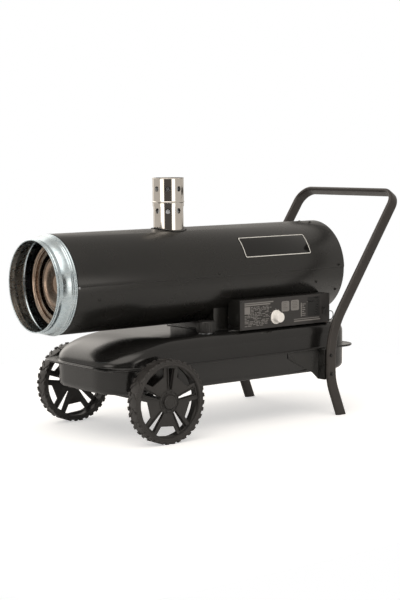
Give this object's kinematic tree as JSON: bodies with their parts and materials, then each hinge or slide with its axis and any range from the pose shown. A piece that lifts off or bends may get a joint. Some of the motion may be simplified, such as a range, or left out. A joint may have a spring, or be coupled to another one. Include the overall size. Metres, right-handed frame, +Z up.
{
  "type": "indirect fired heater",
  "caption": "Wheeled indirect oil heater: round drum with a ribbed warm air outlet and a steel flue, on a flat fuel tank with large wheels and a bent tube push handle.",
  "frame": {"origin": "on the ground, at the centre of the bounding box seen from above", "axes": "+X from the warm air outlet to the push handle, -Y the side with the controls, +Z up"},
  "size_m": [1.3146, 0.5568, 0.7942],
  "materials": {
    "casing_paint": "satin black powder coat on steel sheet",
    "tank_paint": "semi-gloss black paint on pressed steel",
    "tube_paint": "satin dark grey powder coat on steel tube",
    "galvanised": "galvanised, slightly passivated",
    "stainless": "polished stainless steel",
    "heat_steel": "stainless steel tinted by heat",
    "steel": "zinc plated",
    "cast_housing": "cast",
    "fan_alloy": "mill finish",
    "brass": "machined",
    "copper": "drawn copper tube",
    "rubber": "matt",
    "tyre": "matt rubber with chevron lugs",
    "wheel_plastic": "moulded, fine texture",
    "black_plastic": "moulded",
    "plate_plastic": "gloss plate with a pale border line, left bare",
    "fascia_print": "printed film on steel sheet",
    "knob_plastic": "cream moulding",
    "ceramic": "glazed ceramic",
    "board_resin": "coated circuit board"
  },
  "bodies": {
    "chassis": {"drum_upper_shell": "casing_paint", "drum_lower_shell": "casing_paint", "outlet_collar": "galvanised", "heat_exchanger": "heat_steel", "combustion_chamber": "heat_steel", "flue_stub": "stainless", "flue_sleeve": "stainless", "flue_inner_sleeve": "steel", "flue_saddle": "casing_paint", "badge_plate": "plate_plastic", "burner_tube": "steel", "flame_photocell": "black_plastic", "air_diffuser": "steel", "fuel_nozzle": "brass", "ignition_electrodes": "ceramic", "motor_housing": "cast_housing", "motor_stator": "steel", "motor_bracket": "steel", "fuel_pump": "cast_housing", "fan_guard": "casing_paint", "nozzle_pipe": "copper", "fuel_supply_hose": "rubber", "fuel_return_hose": "rubber", "fuel_pickup": "brass", "fuel_return_fitting": "brass", "tank_upper_half": "tank_paint", "tank_lower_half": "tank_paint", "filler_neck": "steel", "filler_strainer": "steel", "drain_plug": "steel", "drum_support_front": "casing_paint", "drum_support_rear": "casing_paint", "thermostat_bulb": "copper", "bulb_clip": "steel", "thermostat_capillary": "copper", "control_box": "casing_paint", "control_fascia": "fascia_print", "thermostat_body": "black_plastic", "switch_housing": "black_plastic", "ignition_transformer": "black_plastic", "control_board": "board_resin", "cord_gland": "black_plastic", "handle_tube": "tube_paint", "leg_bracket_near": "casing_paint", "leg_bracket_far": "casing_paint", "axle": "steel", "axle_bracket": "casing_paint"},
    "near_wheel": {"tyre_near": "tyre", "wheel_rim_near": "wheel_plastic", "hub_cap_near": "wheel_plastic"},
    "far_wheel": {"tyre_far": "tyre", "wheel_rim_far": "wheel_plastic", "hub_cap_far": "wheel_plastic"},
    "rotor": {"rotor_shaft": "steel", "shaft_coupling": "rubber", "fan": "fan_alloy"},
    "cap_carrier": {"cap_seal": "rubber"},
    "cap": {"filler_cap": "black_plastic"},
    "knob": {"thermostat_knob": "knob_plastic"},
    "rocker": {"power_switch": "black_plastic"}
  },
  "joints": [
    {"name": "wheel_near_spin", "type": "hinge", "parent": "chassis", "child": "near_wheel", "pos_m": [-0.35207, -0.25645, 0.129], "axis": [0, 1, 0], "continuous": true},
    {"name": "wheel_far_spin", "type": "hinge", "parent": "chassis", "child": "far_wheel", "pos_m": [-0.35207, 0.25645, 0.129], "axis": [0, 1, 0], "continuous": true},
    {"name": "fan_spin", "type": "hinge", "parent": "chassis", "child": "rotor", "pos_m": [0.39863, 0, 0.4793], "axis": [1, 0, 0], "continuous": true},
    {"name": "cap_lift", "type": "slide", "parent": "chassis", "child": "cap_carrier", "axis": [0, 0, 1], "range_m": [0, 0.024]},
    {"name": "cap_turn", "type": "hinge", "parent": "cap_carrier", "child": "cap", "pos_m": [-0.10937, -0.141, 0.3445], "axis": [0, 0, 1], "range_deg": [0, 90]},
    {"name": "thermostat_turn", "type": "hinge", "parent": "chassis", "child": "knob", "pos_m": [0.14163, 0, 0.341], "axis": [0, 1, 0], "range_deg": [0, 270]},
    {"name": "power_rock", "type": "hinge", "parent": "chassis", "child": "rocker", "pos_m": [0.35163, -0.1855, 0.347], "axis": [1, 0, 0], "range_deg": [-18, 0]}
  ]
}
